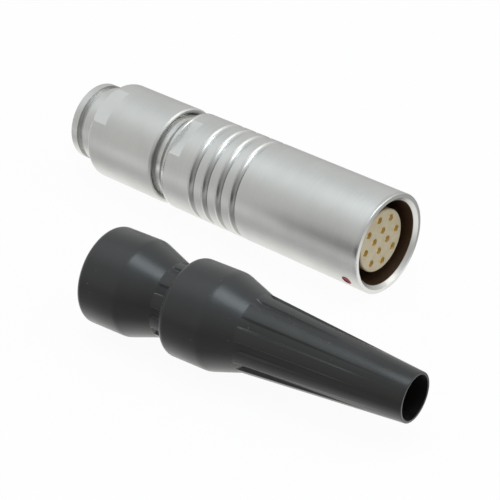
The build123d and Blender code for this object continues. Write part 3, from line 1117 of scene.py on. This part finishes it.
@dataclass
class Studio:
    """Camera, lamps, world and floor."""

    camera_place: Triple = (142.446, -197.314, 148.747)
    azimuth: float = 40.69
    elevation: float = 31.70
    focal_pixels: float = 1916.39
    picture_pixels: float = 500.0
    sensor: float = 36.0
    clip: Span = (0.01, 20.0)
    target: Triple = (-0.025, -0.015, 0.0)
    lamps: tuple[Lamp, ...] = (
        Lamp("overhead_box", (-0.29, -0.09, 0.45), size=0.36, power=0.10),
        Lamp("back_box", (0.34, 0.25, 0.38), size=0.26, power=0.30, tint=(1.0, 1.0, 0.98)),
        Lamp("top_box", (0.03, -0.03, 0.50), size=0.23, power=0.70, tint=(0.84, 0.95, 1.0)),
    )
    room: float = 0.68
    room_blue: float = 0.015
    top_rise: Span = (0.55, 0.95)
    top_red: float = 0.05
    top_blue: float = 0.03
    patches: tuple[Patch, ...] = (
        Patch((-0.45, -0.12, 0.85), inner=8.0, outer=34.0, gain=0.05),
        Patch((0.6, 0.45, 0.65), inner=8.0, outer=40.0, gain=0.35),
        Patch((-0.3, -0.95, 0.0), inner=25.0, outer=75.0, gain=-0.05),
        Patch((0.60, -0.78, 0.02), inner=16.0, outer=52.0, gain=-0.20),
    )
    floor_height: float = -8.0
    floor_radius: float = 6.0
    floor_steps: int = 64
    floor_colour: Colour = (0.80, 0.80, 0.80)
    near_glow: Colour = (1.35, 1.35, 1.33)
    far_glow: Colour = (0.45, 0.45, 0.44)
    end_glow: Colour = (0.34, 0.34, 0.33)
    far_reach: Span = (5.0, 14.0)
    end_reach: Span = (20.0, 90.0)
    boot_start: Span = (-27.1, -32.4)
    boot_slope: float = 0.0857
    mirrored_share: float = 0.85
    white_share: float = 0.95

    def place_camera(self) -> None:
        """The camera that the outlines in the picture fit."""
        data = bpy.data.cameras.new("picture_camera")
        data.sensor_width = self.sensor
        data.lens = self.sensor * self.focal_pixels / self.picture_pixels
        data.clip_start, data.clip_end = self.clip
        camera = bpy.data.objects.new("picture_camera", data)
        bpy.context.scene.collection.objects.link(camera)
        turn, rise = math.radians(self.azimuth), math.radians(self.elevation)
        back = Vector(
            (math.sin(turn) * math.cos(rise), -math.cos(turn) * math.cos(rise), math.sin(rise))
        )
        camera.location = [c * MM for c in self.camera_place]
        camera.rotation_mode = "QUATERNION"
        camera.rotation_quaternion = (-back).to_track_quat("-Z", "Y")
        bpy.context.scene.camera = camera

    def place_lamps(self) -> None:
        """Soft boxes that look at the middle of the object."""
        for lamp in self.lamps:
            data = bpy.data.lights.new(lamp.name, "AREA")
            data.shape = "SQUARE"
            data.size = lamp.size
            data.energy = lamp.power
            data.color = lamp.tint
            box = bpy.data.objects.new(lamp.name, data)
            bpy.context.scene.collection.objects.link(box)
            box.location = lamp.place
            box.rotation_mode = "QUATERNION"
            aim = Vector(self.target) - Vector(lamp.place)
            box.rotation_quaternion = aim.to_track_quat("-Z", "Y")

    def fill_world(self) -> None:
        """A plain pale room: lighter overhead, dimmer low in front, where the dark side is."""
        world = bpy.data.worlds.new("pale_room")
        bpy.context.scene.world = world
        shader = Shader(world)
        x, y, z = shader.axes(shader.value("ShaderNodeTexCoord", output="Generated"))
        level: Sock | float = self.room
        for patch in self.patches:
            east, north, rise = Vector(patch.direction).normalized()
            facing = x * east + y * north + z * rise
            outer, inner = (math.cos(math.radians(c)) for c in (patch.outer, patch.inner))
            level = facing.ramp(outer, inner) * patch.gain + level
        top = z.ramp(*self.top_rise)
        red = level - top * self.top_red
        blue = level + top * self.top_blue - self.room_blue
        colour = shader.joined(red, level, blue)
        surface = shader.value("ShaderNodeBackground", inputs={"Color": colour, "Strength": 1.0})
        shader.node("ShaderNodeOutputWorld", inputs={"Surface": surface})

    def lay_floor(self) -> None:
        """A wide white floor that takes a shadow; glossy rays see a painted glow on it, lighter
        close to the pieces and dimmer far off.
        """
        Bench.clear()
        bpy.ops.mesh.primitive_circle_add(
            vertices=self.floor_steps,
            radius=self.floor_radius,
            fill_type="NGON",
            location=(0, 0, self.floor_height * MM),
        )
        floor = bpy.context.object
        floor.name = "floor"
        bpy.ops.object.transform_apply(location=True, rotation=True, scale=True)
        shader = Shader.named("white_floor")
        x, y, _ = shader.axes(shader.mapped())
        boot_x, boot_y = self.boot_start
        reach = abs(y).least(abs(y - boot_y - (x - boot_x) * self.boot_slope))
        # Painted reflection: an emission seen only by glossy and transmission rays, brighter along
        # the pieces and darker away from them.
        shade = shader.blend(reach.ramp(*self.far_reach), self.near_glow, self.far_glow)
        shade = shader.blend(reach.ramp(*self.end_reach), shade, self.end_glow)
        lit = shader.value("ShaderNodeBsdfDiffuse", inputs={"Color": (*self.floor_colour, 1.0)})
        white = shader.value("ShaderNodeEmission", inputs={"Color": (1, 1, 1, 1), "Strength": 1.0})
        mirrored = shader.value("ShaderNodeEmission", inputs={"Color": shade, "Strength": 1.0})
        path = shader.node("ShaderNodeLightPath")
        gloss, through, camera = (
            Sock(shader, path.outputs[name])
            for name in ("Is Glossy Ray", "Is Transmission Ray", "Is Camera Ray")
        )
        share = gloss.most(through) * self.mirrored_share
        surface = shader.value("ShaderNodeMixShader", inputs={0: share, 1: lit, 2: mirrored})
        share = camera * self.white_share
        surface = shader.value("ShaderNodeMixShader", inputs={0: share, 1: surface, 2: white})
        shader.node("ShaderNodeOutputMaterial", inputs={"Surface": surface})
        floor.data.materials.append(shader.owner)

    def build(self) -> None:
        """Set the whole studio up."""
        bpy.context.scene.view_settings.view_transform = "Standard"
        self.place_camera()
        self.place_lamps()
        self.fill_world()
        self.lay_floor()


def main() -> None:
    """Build and dress every sub-assembly, then the studio."""
    logging.basicConfig(level=logging.INFO, format="%(name)s: %(message)s")
    for assembly in (Housing(), Insert(), RearHardware(), ColletNut(), BendRelief()):
        LOG.info("working on %s", type(assembly).__name__)
        assembly.dress()
    Studio().build()


if __name__ == "__main__":
    main()
